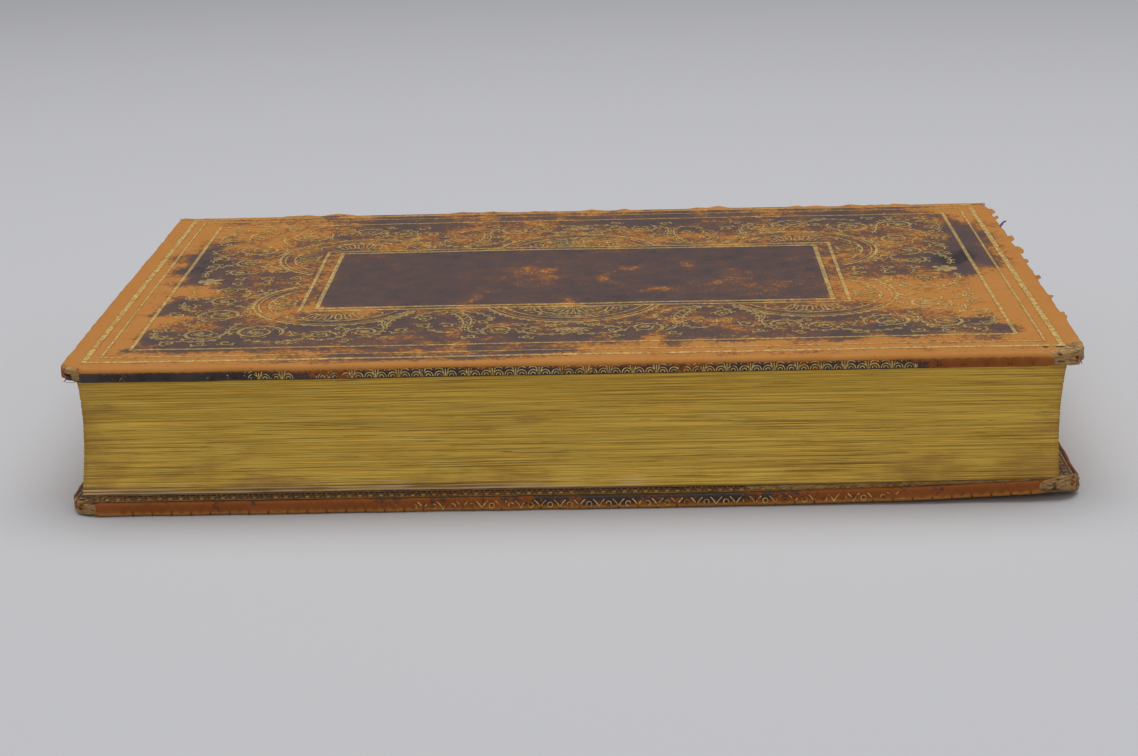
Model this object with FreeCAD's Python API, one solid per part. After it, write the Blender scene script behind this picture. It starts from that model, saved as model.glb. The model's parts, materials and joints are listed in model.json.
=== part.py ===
"""A leather-bound antique book, closed and lying on its rear cover. All lengths are in millimetres.

X runs along the book's height, from the tail (-X) to the head (+X). Y runs from the fore-edge (-Y) to
the spine (+Y), and Z is up. The origin is under the middle of the book, on the surface it lies on.

Each cover is a millboard with a leather skin over its outside and its three open edges, turned in on
the inner face round a pasted-down endpaper. The leaves are one block with a hollow fore-edge and a
rounded, backed spine. Five sewing cords cross that spine, linings fill the panels between them, and
the spine leather follows both and ends in a cap over each endband.
"""

import math
import os

import FreeCAD
import Part

V = FreeCAD.Vector
near = 1e-6
quarter_turn = 90

# The whole book.
height = 230.0
cover_depth = 158.0  # from the fore-edge of a cover to its hinge line
thickness = 35.0

# A cover, from the outside in.
leather = 0.6
board = 2.4
paper_thickness = 0.3  # the pastedown, and the pared leather of the turn-ins beside it
turn_in = 9.0
corner_radius = 3.0
outer_round = 1.2
inner_round = 0.5
board_round = 0.6
joint_width = 1.0  # bare leather between the board and the hinge line

# Leather lost at each fore-edge corner, and the split and swollen board that shows there.
front_tail_wear = 3.6
front_head_wear = 9.0
rear_tail_wear = 5.5
rear_head_wear = 10.5
front_bruise = 4.6
rear_bruise = 5.6
bruise_rise = 0.9

# The leaves.
air = 0.15  # between a cover and the endpaper that faces it
end_square = 3.2  # how far the covers reach past the leaves at head and tail
fore_square = 5.0
fore_hollow = 4.5
endpaper = 0.2
groove_depth = 0.35
groove_width = 0.22
gatherings = 14

# The back of the leaves and what is glued to it.
back_rise = 7.0
joint_drop = 1.0  # how far the edge of the spine leather lies inside the cover's face
shoulder_out = 1.2  # the shoulder's tip, past the hinge line
shoulder_in = 0.5  # the shoulder's root, short of the hinge line
glue = 0.1
lining = 0.4
lining_margin = 0.6  # from the shoulder's tip to the end of a lining
spine_fit = 0.1
spine_leather = 0.8
endband_reach = 41.0  # degrees either side of the middle

# Raised bands: a cord under the leather at each.
band_count = 5
band_pitch = 37.0
first_band = 44.0  # from the tail
band_height = 2.2
band_half_width = 4.5
band_crown = 2.9  # radius of the band's top
cord_radius = 1.3
cord_gap = 0.4

# Ends of the spine.
endband_radius = 1.05
endband_sink = 1.0
cap_lip = 1.8

# Worked out from the sizes above.
cover = leather + board + paper_thickness
middle = thickness / 2
half_height = height / 2
leaves_half = half_height - end_square
half_chord = middle - joint_drop - glue - lining - spine_leather
back_radius = (half_chord**2 + back_rise**2) / (2 * back_rise)
glued_radius = back_radius + glue
lining_reach = math.degrees(math.asin((half_chord - lining_margin) / back_radius))
leather_in = glued_radius + lining + spine_fit
leather_out = leather_in + spine_leather
spine_reach = shoulder_out + back_rise - back_radius + leather_out + band_height
total_depth = cover_depth + spine_reach
fore_y = -total_depth / 2
hinge_y = fore_y + cover_depth
board_end = hinge_y - joint_width
back_centre = hinge_y + shoulder_out + back_rise - back_radius
leaves_fore = fore_y + fore_square
band_places = [-half_height + first_band + i * band_pitch for i in range(band_count)]


def box(x0, x1, y0, y1, z0, z1):
    return Part.makeBox(x1 - x0, y1 - y0, z1 - z0, V(x0, y0, z0))


def upright(x, y, radius, z0, z1):
    """A cylinder standing on z0."""
    return Part.makeCylinder(radius, z1 - z0, V(x, y, z0), V(0, 0, 1))


def edges_where(shape, test):
    """The straight or curved edges whose every corner and middle pass the test."""
    found = []
    for edge in shape.Edges:
        points = [edge.valueAt(edge.FirstParameter), edge.valueAt(edge.LastParameter)]
        points.append(edge.valueAt((edge.FirstParameter + edge.LastParameter) / 2))
        if all(test(p) for p in points):
            found.append(edge)
    return found


def plate(inset, y_end, z0, z1, low_round, high_round):
    """A cover-sized plate, set in from the cover's three open edges, with its corners and rims rounded."""
    x = half_height - inset
    y0 = fore_y + inset
    radius = corner_radius - inset
    solid = box(-x, x, y0, y_end, z0, z1)
    upright_edges = edges_where(solid, lambda p: abs(p.y - y0) < near and abs(abs(p.x) - x) < near)
    solid = solid.makeFillet(radius, upright_edges)
    for z, rim in ((z0, low_round), (z1, high_round)):
        rims = edges_where(solid, lambda p: abs(p.z - z) < near and p.y < y_end - near)
        sides = edges_where(solid, lambda p: abs(p.z - z) < near and abs(abs(p.x) - x) < near)
        chosen = rims + [e for e in sides if not any(e.isSame(r) for r in rims)]
        solid = solid.makeFillet(rim, chosen)
    return solid


def upper(shape):
    """The same thing on the other side of the book."""
    return shape.mirror(V(0, 0, middle), V(0, 0, 1))


def cover_board(tail_bruise, head_bruise):
    """The millboard of the rear cover. A knocked corner is split and swollen round its tip."""
    solid = plate(leather, board_end, leather, leather + board, board_round, board_round)
    for side, bruise in ((-1, tail_bruise), (1, head_bruise)):
        if not bruise:
            continue
        inset = leather + bruise
        z0 = leather / 2
        z1 = leather + board + bruise_rise
        swelling = upright(side * (half_height - inset), fore_y + inset, bruise, z0, z1)
        swelling = swelling.makeFillet(bruise_rise, swelling.Edges[0:1])
        # Only the outer quarter swells, clear of the leaves.
        reach_x = min(inset, end_square - air)
        reach_y = min(inset, fore_square - air)
        x0, x1 = sorted((side * half_height, side * (half_height - inset)))
        along_fore = box(x0, x1, fore_y, fore_y + reach_y, z0, z1)
        x0, x1 = sorted((side * half_height, side * (half_height - reach_x)))
        along_end = box(x0, x1, fore_y, fore_y + inset, z0, z1)
        solid = solid.fuse(swelling.common(along_fore.fuse(along_end)))
    return solid.removeSplitter()


def cover_skin(tail_wear, head_wear):
    """The leather of the rear cover: outside, three edges and turn-ins, up to its rounded hinge edge."""
    skin = plate(0, hinge_y, 0, cover, outer_round, inner_round)
    skin = skin.cut(plate(leather, board_end, leather, leather + board, board_round, board_round))
    inner = leather + board
    window = box(turn_in - half_height, half_height - turn_in, fore_y + turn_in, hinge_y, inner, cover)
    joint = box(-half_height, half_height, board_end, hinge_y, leather, cover)
    skin = skin.cut(window).cut(joint)
    bead = Part.makeCylinder(leather / 2, height, V(-half_height, hinge_y, leather / 2), V(1, 0, 0))
    skin = skin.fuse(bead)
    for side, wear in ((-1, tail_wear), (1, head_wear)):
        skin = skin.cut(upright(side * half_height, fore_y, wear, 0, cover))
    return skin.removeSplitter()


def pastedown():
    """The endpaper pasted to the rear board, inside the turn-ins."""
    x = half_height - turn_in
    return box(-x, x, fore_y + turn_in, board_end, leather + board, cover)


def arc(points):
    return Part.Arc(*[V(*p) for p in points]).toShape()


def line(a, b):
    return Part.LineSegment(V(*a), V(*b)).toShape()


def leaves():
    """All the leaves as one block, grooved on its three open edges where the gatherings meet."""
    z0 = cover + air + endpaper
    z1 = thickness - z0
    root = hinge_y - shoulder_in
    tip = hinge_y + shoulder_out
    corners = {
        "fore_low": (0, leaves_fore, z0),
        "fore_high": (0, leaves_fore, z1),
        "root_high": (0, root, z1),
        "tip_high": (0, tip, middle + half_chord),
        "tip_low": (0, tip, middle - half_chord),
        "root_low": (0, root, z0),
    }
    edges = [
        arc([corners["fore_low"], (0, leaves_fore + fore_hollow, middle), corners["fore_high"]]),
        line(corners["fore_high"], corners["root_high"]),
        line(corners["root_high"], corners["tip_high"]),
        arc([corners["tip_high"], (0, tip + back_rise, middle), corners["tip_low"]]),
        line(corners["tip_low"], corners["root_low"]),
        line(corners["root_low"], corners["fore_low"]),
    ]
    face = Part.Face(Part.Wire(edges))
    face.translate(V(-leaves_half, 0, 0))
    block = face.extrude(V(2 * leaves_half, 0, 0))
    core = face.extrude(V(2 * (leaves_half - groove_depth), 0, 0))
    core.translate(V(groove_depth, groove_depth, 0))
    step = (z1 - z0) / gatherings
    for i in range(1, gatherings):
        z = z0 + i * step
        slot = box(-half_height, half_height, fore_y, root, z - groove_width / 2, z + groove_width / 2)
        block = block.cut(slot.cut(core))
    return block


def free_endpaper():
    """The free leaf that faces the rear cover."""
    z0 = cover + air
    return box(-leaves_half, leaves_half, leaves_fore, hinge_y - shoulder_in, z0, z0 + endpaper)


def round_the_back(face, reach):
    """Turns a flat face, drawn at the height of the back's middle, through reach degrees either side."""
    centre = V(0, back_centre, middle)
    face.rotate(centre, V(1, 0, 0), -reach)
    return face.revolve(centre, V(1, 0, 0), 2 * reach)


def ring_section(x0, x1, r0, r1):
    """A rectangle between two radii of the back."""
    y0, y1 = back_centre + r0, back_centre + r1
    corners = [V(x0, y0, middle), V(x1, y0, middle), V(x1, y1, middle), V(x0, y1, middle)]
    return Part.Face(Part.makePolygon(corners + corners[:1]))


def rod_section(x, r, radius):
    """A circle whose middle lies at radius r of the back."""
    circle = Part.makeCircle(radius, V(x, back_centre + r, middle), V(0, 0, 1))
    return Part.Face(Part.Wire(circle))


def between_joints(section):
    """A section turned round the back and cut off flush at the edges of the spine leather."""
    kept = box(-height, height, 0, total_depth, joint_drop, thickness - joint_drop)
    return round_the_back(section, quarter_turn).common(kept)


def sewing_cord(x):
    return between_joints(rod_section(x, glued_radius + cord_radius, cord_radius))


def lining_ends():
    """Where each lining panel starts and stops, between the cords and the ends of the leaves."""
    clear = cord_radius + cord_gap
    starts = [-leaves_half] + [x + clear for x in band_places]
    stops = [x - clear for x in band_places] + [leaves_half]
    return list(zip(starts, stops))


def lining_panel(x0, x1):
    return round_the_back(ring_section(x0, x1, glued_radius, glued_radius + lining), lining_reach)


def endband(side):
    """The silk-covered bead at one end of the spine, under the leather cap."""
    x = side * (leaves_half + endband_radius)
    return round_the_back(rod_section(x, back_radius - endband_sink, endband_radius), endband_reach)


def band_edges(x):
    """The outside of one band, seen along the back: a hollow arc, the crown and a hollow arc."""
    turn = 2 * math.atan2(band_height, band_half_width)
    hollow = band_half_width / math.sin(turn) - band_crown
    base = back_centre + leather_out
    top = base + band_height

    def on_hollow(side, angle):
        along = band_half_width - hollow * math.sin(angle)
        return (x + side * along, base + hollow * (1 - math.cos(angle)), middle)

    def on_crown(angle):
        return (x + band_crown * math.sin(angle), top - band_crown * (1 - math.cos(angle)), middle)

    return [
        arc([on_hollow(-1, 0), on_hollow(-1, turn / 2), on_hollow(-1, turn)]),
        arc([on_crown(-turn), on_crown(0), on_crown(turn)]),
        arc([on_hollow(1, turn), on_hollow(1, turn / 2), on_hollow(1, 0)]),
    ]


def cord_channel(x):
    """Half the width of the channel over a cord, and its round edge."""
    radius = cord_radius + spine_fit
    centre = glued_radius + cord_radius
    floor = back_centre + leather_in
    half_width = math.sqrt(radius**2 - (leather_in - centre) ** 2)
    top = (x, back_centre + centre + radius, middle)
    return half_width, arc([(x - half_width, floor, middle), top, (x + half_width, floor, middle)])


def spine_section():
    """The spine leather cut along its length: raised bands outside, channels for the cords inside."""
    inside = back_centre + leather_in
    outside = back_centre + leather_out
    edges = []
    x_in = x_out = -half_height
    for x in band_places:
        edges.append(line((x_out, outside, middle), (x - band_half_width, outside, middle)))
        edges.extend(band_edges(x))
        x_out = x + band_half_width
        half_width, channel = cord_channel(x)
        edges.append(line((x_in, inside, middle), (x - half_width, inside, middle)))
        edges.append(channel)
        x_in = x + half_width
    edges.append(line((x_out, outside, middle), (half_height, outside, middle)))
    edges.append(line((x_in, inside, middle), (half_height, inside, middle)))
    for x in (-half_height, half_height):
        edges.append(line((x, inside, middle), (x, outside, middle)))
    return Part.Face(Part.Wire(Part.__sortEdges__(edges)))


def spine_skin():
    """The leather over the back, with its raised bands and a turned-in cap at each end."""
    skin = between_joints(spine_section())
    for side in (-1, 1):
        x0, x1 = sorted((side * half_height, side * (half_height - spine_leather)))
        lip = ring_section(x0, x1, leather_in - cap_lip, leather_in)
        skin = skin.fuse(round_the_back(lip, endband_reach))
    return skin.removeSplitter()


def build():
    parts = {
        "rear_board": cover_board(0, rear_bruise),
        "rear_cover_leather": cover_skin(rear_tail_wear, rear_head_wear),
        "rear_pastedown": pastedown(),
        "front_board": upper(cover_board(0, front_bruise)),
        "front_cover_leather": upper(cover_skin(front_tail_wear, front_head_wear)),
        "front_pastedown": upper(pastedown()),
        "text_block": leaves(),
        "rear_free_endpaper": free_endpaper(),
        "front_free_endpaper": upper(free_endpaper()),
        "tail_endband": endband(-1),
        "head_endband": endband(1),
        "spine_leather": spine_skin(),
    }
    for i, x in enumerate(band_places, 1):
        parts[f"sewing_cord_{i}"] = sewing_cord(x)
    for i, (x0, x1) in enumerate(lining_ends(), 1):
        parts[f"spine_lining_{i}"] = lining_panel(x0, x1)
    return parts


os.makedirs("parts", exist_ok=True)
for name, shape in build().items():
    shape.exportStep(os.path.join("parts", name + ".step"))
    print(name, shape.isValid(), len(shape.Solids), round(shape.Volume, 1))
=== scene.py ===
"""Looks for an antique leather book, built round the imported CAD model.

Places are in millimetres until add_mesh turns them into metres. On a cover, x runs along the book's
height, v is the distance from the fore-edge and h is the height above the cover's inner face.
"""
import json
import math

import bpy
import numpy as np
from mathutils import Matrix, Vector


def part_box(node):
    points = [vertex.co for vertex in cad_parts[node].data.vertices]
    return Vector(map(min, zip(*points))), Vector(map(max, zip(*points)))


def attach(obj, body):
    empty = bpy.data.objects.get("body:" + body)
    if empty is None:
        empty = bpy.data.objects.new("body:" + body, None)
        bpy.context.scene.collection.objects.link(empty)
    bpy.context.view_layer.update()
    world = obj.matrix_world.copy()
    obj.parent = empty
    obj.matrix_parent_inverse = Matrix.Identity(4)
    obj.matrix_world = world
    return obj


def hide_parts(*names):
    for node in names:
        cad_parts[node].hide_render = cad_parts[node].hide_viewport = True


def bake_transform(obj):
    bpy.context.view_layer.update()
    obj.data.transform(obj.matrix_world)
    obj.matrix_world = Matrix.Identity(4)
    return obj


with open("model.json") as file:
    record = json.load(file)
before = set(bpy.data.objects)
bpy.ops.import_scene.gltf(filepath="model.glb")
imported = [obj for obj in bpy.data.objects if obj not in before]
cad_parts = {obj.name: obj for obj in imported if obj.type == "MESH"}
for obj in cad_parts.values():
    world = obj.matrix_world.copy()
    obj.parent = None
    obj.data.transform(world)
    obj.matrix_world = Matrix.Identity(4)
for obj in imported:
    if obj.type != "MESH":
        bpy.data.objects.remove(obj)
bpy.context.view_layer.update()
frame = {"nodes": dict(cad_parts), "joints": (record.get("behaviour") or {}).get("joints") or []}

MM = 0.001
LEAVES = "leaves_and_spine"
FRONT = "front_cover"
REAR = "rear_cover"
# What a cover's pieces are called, and its body. Side 1 is the front cover and side -1 the rear cover.
SIDES = {1: ("front", FRONT), -1: ("rear", REAR)}


def node_box(node):
    """The low and the high corner of a CAD node's box, in millimetres."""
    low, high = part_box(node)
    return np.array(low) / MM, np.array(high) / MM


cover_low, cover_high = node_box("front_cover_leather")
leaves_low, leaves_high = node_box("text_block")

half_height = cover_high[0]
fore_y = cover_low[1]
top = cover_high[2]
middle = top / 2
cover = top - cover_low[2]
cover_depth = node_box("front_board")[1][1] - fore_y
hinge_y = frame["joints"][0]["pos_m"][1] / MM
joint_drop = node_box("spine_leather")[0][2]
leaves_half = leaves_high[0]
leaves_top = node_box("front_free_endpaper")[0][2]
back_y = leaves_high[1]
band_places = [sum(b[0] for b in node_box(f"sewing_cord_{i}")) / 2 for i in range(1, 6)]

# Roundings of a cover: its outer and inner arrises, its open corners and the two at the joint.
OUTER_ROUND = 1.2
INNER_ROUND = 0.5
CORNER_RADIUS = 7.5
HEAD_JOINT_RADIUS = 6.0
TAIL_JOINT_RADIUS = 2.0

# The leaves' hollow fore-edge and rounded back, and what lies on that back.
FORE_HOLLOW = 4.5
BACK_RISE = 7.0
GLUE = 0.1
LINING = 0.4
SPINE_FIT = 0.1
SPINE_LEATHER = 0.8
ENDBAND_SINK = 1.0

half_chord = middle - joint_drop - GLUE - LINING - SPINE_LEATHER
back_radius = (half_chord**2 + BACK_RISE**2) / (2 * BACK_RISE)
back_centre = back_y - back_radius
spine_radius = back_radius + GLUE + LINING + SPINE_FIT + SPINE_LEATHER

# The ornament's middle, as a distance from the fore-edge. The rest of it is drawn from there and mirrored.
ORNAMENT_MIDDLE = 80.5
# Half length, half depth and width of each gilt frame: three round the cover and two round its panel.
FRAMES = ((109.7, 74.3, 1.3), (106.5, 70.3, 0.6), (101.0, 64.2, 0.9), (66.5, 31.3, 0.9), (62.6, 28.8, 1.1))
PANEL_HALF = FRAMES[3][:2]


# Noise, the same on every run.

lattice = np.random.default_rng(7).random((256, 256))


def smooth(a, b, value):
    """0 below a, 1 above b and a smooth rise between them."""
    t = np.clip((value - a) / (b - a), 0, 1)
    return t * t * (3 - 2 * t)


def noise(x, y, size, seed):
    """Value noise from -1 to 1 with features of that size in millimetres."""
    x = np.asarray(x, float) / size + 17.3 * seed + 500
    y = np.asarray(y, float) / size + 9.7 * seed + 500
    i, j = np.floor(x).astype(int), np.floor(y).astype(int)
    fx, fy = x - i, y - j
    fx, fy = fx * fx * (3 - 2 * fx), fy * fy * (3 - 2 * fy)
    a, b = lattice[i % 256, j % 256], lattice[(i + 1) % 256, j % 256]
    c, d = lattice[i % 256, (j + 1) % 256], lattice[(i + 1) % 256, (j + 1) % 256]
    return 2 * ((a + (b - a) * fx) * (1 - fy) + (c + (d - c) * fx) * fy) - 1


def fractal(x, y, size, seed):
    """Noise with three finer layers on top, from about -1 to 1."""
    total = 0
    for n in range(4):
        total = total + noise(x, y, size / 2**n, seed + n) / 2**n
    return total / 1.6


# Mesh helpers.


def add_mesh(name, points, quads, body, material, stands_for=(), attributes=None, smooth_shade=True):
    """A piece from points in millimetres and faces of four corners, riding on a body."""
    points = np.asarray(points, float)
    quads = np.asarray(quads, int)
    mesh = bpy.data.meshes.new(name)
    mesh.vertices.add(len(points))
    mesh.vertices.foreach_set("co", (points * MM).ravel())
    mesh.loops.add(quads.size)
    mesh.loops.foreach_set("vertex_index", quads.ravel())
    mesh.polygons.add(len(quads))
    mesh.polygons.foreach_set("loop_start", np.arange(0, quads.size, 4))
    mesh.update(calc_edges=True)
    mesh.validate()
    for key, values in (attributes or {}).items():
        attribute = mesh.attributes.new(key, "FLOAT", "POINT")
        attribute.data.foreach_set("value", np.asarray(values, np.float32))
    mesh.polygons.foreach_set("use_smooth", np.full(len(mesh.polygons), smooth_shade))
    mesh.materials.append(material)
    piece = bpy.data.objects.new(name, mesh)
    bpy.context.scene.collection.objects.link(piece)
    if isinstance(body, str):
        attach(piece, body)
    else:
        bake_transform(piece)
    if stands_for:
        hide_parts(*stands_for)


def grid(rows, columns, wrap=False, flip=False):
    """The quads of a grid of points stored row by row."""
    last = columns if wrap else columns - 1
    i, j = np.meshgrid(np.arange(rows - 1), np.arange(last), indexing="ij")
    k = (j + 1) % columns
    quads = np.stack([i * columns + j, i * columns + k, (i + 1) * columns + k, (i + 1) * columns + j], -1)
    quads = quads.reshape(-1, 4)
    return quads[:, ::-1] if flip else quads


def box_skin(nx, ny, nz):
    """The lattice points on the outside of a box, as three rows of indices, and the quads over them."""
    i, j, k = np.meshgrid(np.arange(nx), np.arange(ny), np.arange(nz), indexing="ij")
    skin = (i == 0) | (i == nx - 1) | (j == 0) | (j == ny - 1) | (k == 0) | (k == nz - 1)
    number = np.full((nx, ny, nz), -1)
    number[skin] = np.arange(skin.sum())
    quads = []
    for axis in range(3):
        for end in (0, -1):
            side = np.take(number, end, axis)
            face = np.stack([side[:-1, :-1], side[1:, :-1], side[1:, 1:], side[:-1, 1:]], -1).reshape(-1, 4)
            outward = (end == -1) == (axis != 1)
            quads.append(face if outward else face[:, ::-1])
    return (i[skin], j[skin], k[skin]), np.concatenate(quads)


def graded(length, step, both=True):
    """Places from 0 to length, close together at the start, and at the end if both."""
    fine = np.array([0, 0.12, 0.3, 0.55, 0.85, 1.2, 1.7, 2.4, 3.2])
    stop = length - (fine[-1] if both else 0)
    count = int(round((stop - fine[-1]) / step))
    inner = np.linspace(fine[-1], stop, count + 1)[1:]
    places = np.concatenate([fine, inner])
    return np.concatenate([places, length - fine[::-1][1:]]) if both else places


def quarter_round(a, b, radius):
    """Two distances from two faces that meet at an arris, moved on to its rounding."""
    p = np.clip(1 - a / radius, 0, 1)
    q = np.clip(1 - b / radius, 0, 1)
    near = (p > 0) & (q > 0)
    a = np.where(near, radius * (1 - p * np.sqrt(1 - q * q / 2)), a)
    b = np.where(near, radius * (1 - q * np.sqrt(1 - p * p / 2)), b)
    return a, b


# Shapes that several pieces share.


def from_edge(x, v):
    """The distance from a cover's nearest open edge."""
    return np.minimum(half_height - np.abs(x), v)


def relief(x, v, side):
    """The outside of a cover against its flat: a little lower everywhere but along its edges."""
    inside = smooth(1, 5, from_edge(x, v))
    return (0.13 * noise(x, v, 46, side + 3) + 0.07 * noise(x, v, 17, side + 5) - 0.2) * inside


def curl(points):
    """Lifts the head corner of the rear cover, its edge the most, and the leaves that rest on it."""
    points = np.array(points, float)
    x, v, z = points[:, 0], points[:, 1] - fore_y, points[:, 2]
    lift = np.clip(x / 100, 0, 1.2) ** 3 * (0.25 * smooth(95, 5, v) + 1.35 * smooth(5, 0.5, v))
    points[:, 2] += lift * np.clip((15 - z) / 11, 0, 1)
    return points


def cover_point(side, x, v, h):
    """Points of a cover."""
    z = top - cover + h if side > 0 else cover - h
    points = np.stack([x, fore_y + v, z], -1)
    return points if side > 0 else curl(points)


# Where the leather has kept its dark surface, and where it is worn to tan.

# Each patch is x, v, half its size along each, and how much darker it is there.
FRONT_PATCHES = (
    (-98, 100, 8, 22, 0.5), (-98, 57, 4, 9, 0.3), (-32, 6, 27, 5, 0.45), (-8, 9, 13, 3, 0.3),
    (-84, 22, 16, 8, 0.15), (5, 24, 55, 9, 0.16), (68, 21, 13, 4, 0.35), (96, 28, 4, 5, 0.5),
    (99, 90, 10, 10, 0.7), (104, 114, 6, 24, 0.5), (-48, 142, 14, 9, 0.3), (15, 140, 22, 8, 0.25),
    (78, 141, 20, 7, 0.3), (-60, 34, 24, 6, 0.2), (35, 40, 20, 5, 0.15), (-20, 40, 20, 6, 0.2),
    (-96, 69, 5, 6, -0.6), (-100, 41, 6, 4, -0.6), (-74, 50, 5, 8, -0.4), (-10, 82, 8, 14, -0.3),
    (9, 77, 2, 9, -0.35), (14, 86, 3, 4, -0.3), (26, 93, 4, 6, -0.3), (-55, 53, 10, 5, -0.3),
    (-25, 59, 3, 8, -0.3), (-2, 54, 4, 5, -0.3), (45, 64, 18, 12, -0.2), (20, 18, 3, 6, -0.5),
    (88, 55, 15, 12, -0.5), (72, 62, 8, 10, -0.3), (94, 42, 14, 14, -0.35), (-88, 132, 18, 22, -0.3),
    (-112, 80, 4, 80, -0.3), (112, 40, 5, 40, -0.3), (106, 148, 12, 10, -0.4), (35, 120, 30, 8, -0.1),
    (21, 64, 5, 3, -0.4), (60, 100, 6, 9, -0.2),
)
REAR_PATCHES = (
    (-60, 90, 30, 20, 0.25), (40, 60, 35, 20, 0.2), (-95, 40, 14, 18, -0.4), (80, 120, 25, 15, -0.4),
    (10, 110, 14, 6, -0.35), (-20, 30, 30, 8, 0.2), (98, 30, 12, 14, -0.35), (0, 80, 10, 18, -0.25),
)


def face_darkness(side, x, v):
    """How dark the outside of a cover is."""
    x2 = x + 3 * noise(x, v, 8, side + 11)
    v2 = v + 3 * noise(x, v, 8, side + 13)
    edge = from_edge(x2, v2)
    panel_x, panel_v = FRAMES[-1][:2]
    panel = np.minimum(panel_x - np.abs(x), panel_v - np.abs(v - ORNAMENT_MIDDLE))
    level = 0.24 + 0.31 * smooth(11, 16, edge) + 0.29 * smooth(-1, 1.5, panel)
    for px, pv, rx, rv, amount in FRONT_PATCHES if side > 0 else REAR_PATCHES:
        level = level + amount * np.exp(-(((x2 - px) / rx) ** 2) - ((v2 - pv) / rv) ** 2)
    return level + 0.16 * fractal(x, v, 15, side + 17)


def fore_darkness(side, x):
    """How dark the fore-edge of a cover is."""
    if side > 0:
        level = 0.8 + 0.2 * np.exp(-(((x + 88) / 22) ** 2)) - 0.65 * smooth(72, 92, x)
        level = level - 0.3 * np.exp(-(((x + 52) / 9) ** 2)) - 0.4 * np.exp(-(((x - 17) / 3) ** 2))
    else:
        level = 0.25 + 0.45 * np.exp(-(((x - 18) / 36) ** 2)) + 0.2 * np.exp(-(((x + 82) / 12) ** 2))
    return level + 0.25 * fractal(x, 0 * x, 9, side + 23)


def on_board_edge(x, v, h):
    """1 on the edges of a cover's board, 0 on its faces."""
    edge = from_edge(x, v)
    return (1 - smooth(1.1, 1.7, edge)) * smooth(0.6, 1.5, cover - h)


def darkness(side, x, v, h):
    """0 where the leather is worn to tan, 1 where it keeps its dark surface."""
    level = face_darkness(side, x, v)
    edge = from_edge(x, v)
    depth = cover - h
    fore = v <= half_height - np.abs(x)
    on_edge = on_board_edge(x, v, h)
    edges = np.where(fore, fore_darkness(side, x), 0.3 + 0.25 * fractal(v, x, 11, side + 29))
    level = level + (edges - level) * on_edge
    arris = np.exp(-((np.hypot(edge, depth) / 1.7) ** 2))
    level = level - 0.25 * arris
    inner = smooth(cover - 0.9, cover - 0.4, depth) * smooth(0.3, 0.9, edge)
    inner_level = 0.72 + 0.2 * fractal(x, v, 7, side + 37)
    return level + (inner_level - level) * inner


# Covers.

# Reach of the lost leather at a cover's tail corner and head corner.
WEAR = {1: (3.6, 8.5), -1: (5.0, 9.5)}
# How much the board there has swollen, and how far it is bent towards the cover's outside.
FRAYED = {1: ((0.1, 0.0), (0.35, -0.35)), -1: ((0.15, -0.2), (0.5, -1.3))}
# Heights of the rows of points on a cover's edges. The last is the cover's whole thickness.
EDGE_ROWS = (0, 0.12, 0.3, 0.55, 1.0, 1.5, 2.1, 2.45, 2.75, 3.0, 3.18, 3.3)


def corner_wear(side, x, v):
    """1 where the leather of a fore-edge corner is gone."""
    worn = 0 * x
    for sign, size in zip((-1, 1), WEAR[side]):
        away = np.hypot(half_height - sign * x, v)
        ragged = size * (1 + 0.25 * noise(x, v, 1.8, 41) + 0.1 * noise(x, v, 0.7, 43))
        worn = np.maximum(worn, smooth(ragged + 0.25, ragged - 0.25, away))
    return worn


def round_off(side, x, v, h):
    """Moves points of a plain box cover on to its rounded arrises and corners."""
    sign = np.where(x < 0, -1, 1)
    outer = h > cover / 2
    radius = np.where(outer, OUTER_ROUND, INNER_ROUND)
    depth = np.where(outer, cover - h, h)
    across = half_height - np.abs(x)
    a, _ = quarter_round(across, depth, radius)
    b, _ = quarter_round(v, depth, radius)
    _, depth = quarter_round(np.minimum(across, v), depth, radius)
    a, b = quarter_round(a, b, CORNER_RADIUS)
    joint_radius = np.where(x > 0, HEAD_JOINT_RADIUS, TAIL_JOINT_RADIUS)
    a, back = quarter_round(a, cover_depth - b, joint_radius)
    b = cover_depth - back
    rim = 1 - smooth(0.5, 4, np.minimum(a, b))
    wobble = 0.22 * noise(x, v, 9, side + 47) + 0.12 * noise(x, v, 2.5, side + 49)
    a = a + rim * (wobble + 0.1) * (across < 5)
    b = b + rim * (wobble + 0.1) * (v < 5)
    return sign * (half_height - a), b, np.where(outer, cover - depth, depth)


def cover_leather(side, material):
    """The leather of a cover, sunk where a corner has lost it."""
    name, body = SIDES[side]
    xs = graded(2 * half_height, 1.3) - half_height
    vs = graded(cover_depth, 1.3, both=False)
    hs = np.array(EDGE_ROWS) * cover / EDGE_ROWS[-1]
    (i, j, k), quads = box_skin(len(xs), len(vs), len(hs))
    x, v, h = xs[i], vs[j], hs[k]
    dark = darkness(side, x, v, h)
    edge = on_board_edge(x, v, h)
    worn = corner_wear(side, x, v)
    x, v, h = round_off(side, x, v, h)
    h = h + relief(x, v, side) * (h > cover / 2)
    sink = 0.75 * worn
    h = np.where(h > cover / 2, h - sink, h + 0.5 * sink)
    x = x - np.sign(x) * sink * (half_height - np.abs(x) < 1.5)
    v = v + sink * (v < 1.5)
    points = cover_point(side, x, v, h)
    quads = quads if side > 0 else quads[:, ::-1]
    add_mesh(
        f"{name}_cover_tooled", points, quads, body, material, (f"{name}_cover_leather",),
        {"dark": dark, "edge": edge},
    )


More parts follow.
